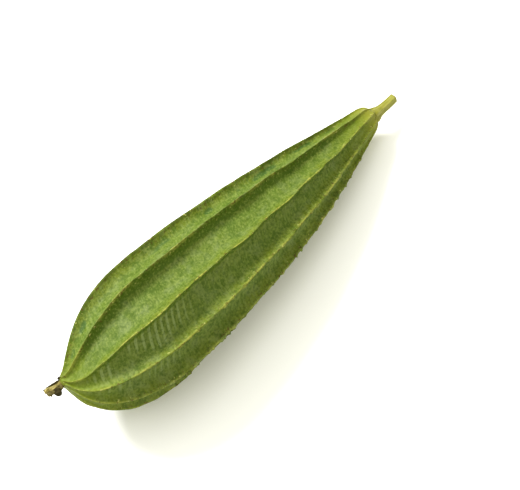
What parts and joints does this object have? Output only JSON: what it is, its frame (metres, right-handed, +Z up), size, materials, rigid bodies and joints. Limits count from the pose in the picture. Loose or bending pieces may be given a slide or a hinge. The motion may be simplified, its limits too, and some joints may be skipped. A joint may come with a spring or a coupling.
{
  "type": "ridge gourd",
  "caption": "Ridge gourd lying on its side, green and sharply ribbed, with a short cut stem at the neck and the withered flower at the blunt tip.",
  "frame": {"origin": "the middle of the underside of the part's bounding box, on the surface that the gourd lies on", "axes": "+X runs along the gourd from the blossom tip to the stem, +Z is up, +Y is across it"},
  "size_m": [0.2224, 0.0578, 0.056],
  "materials": {
    "skin": "waxy green rind, paler along the ridges",
    "stalk": "yellow-green fibrous stalk",
    "withered": "dry brown plant matter"
  },
  "bodies": {
    "root": {"gourd_body": "skin", "stem": "stalk", "dried_blossom": "withered"}
  },
  "joints": []
}
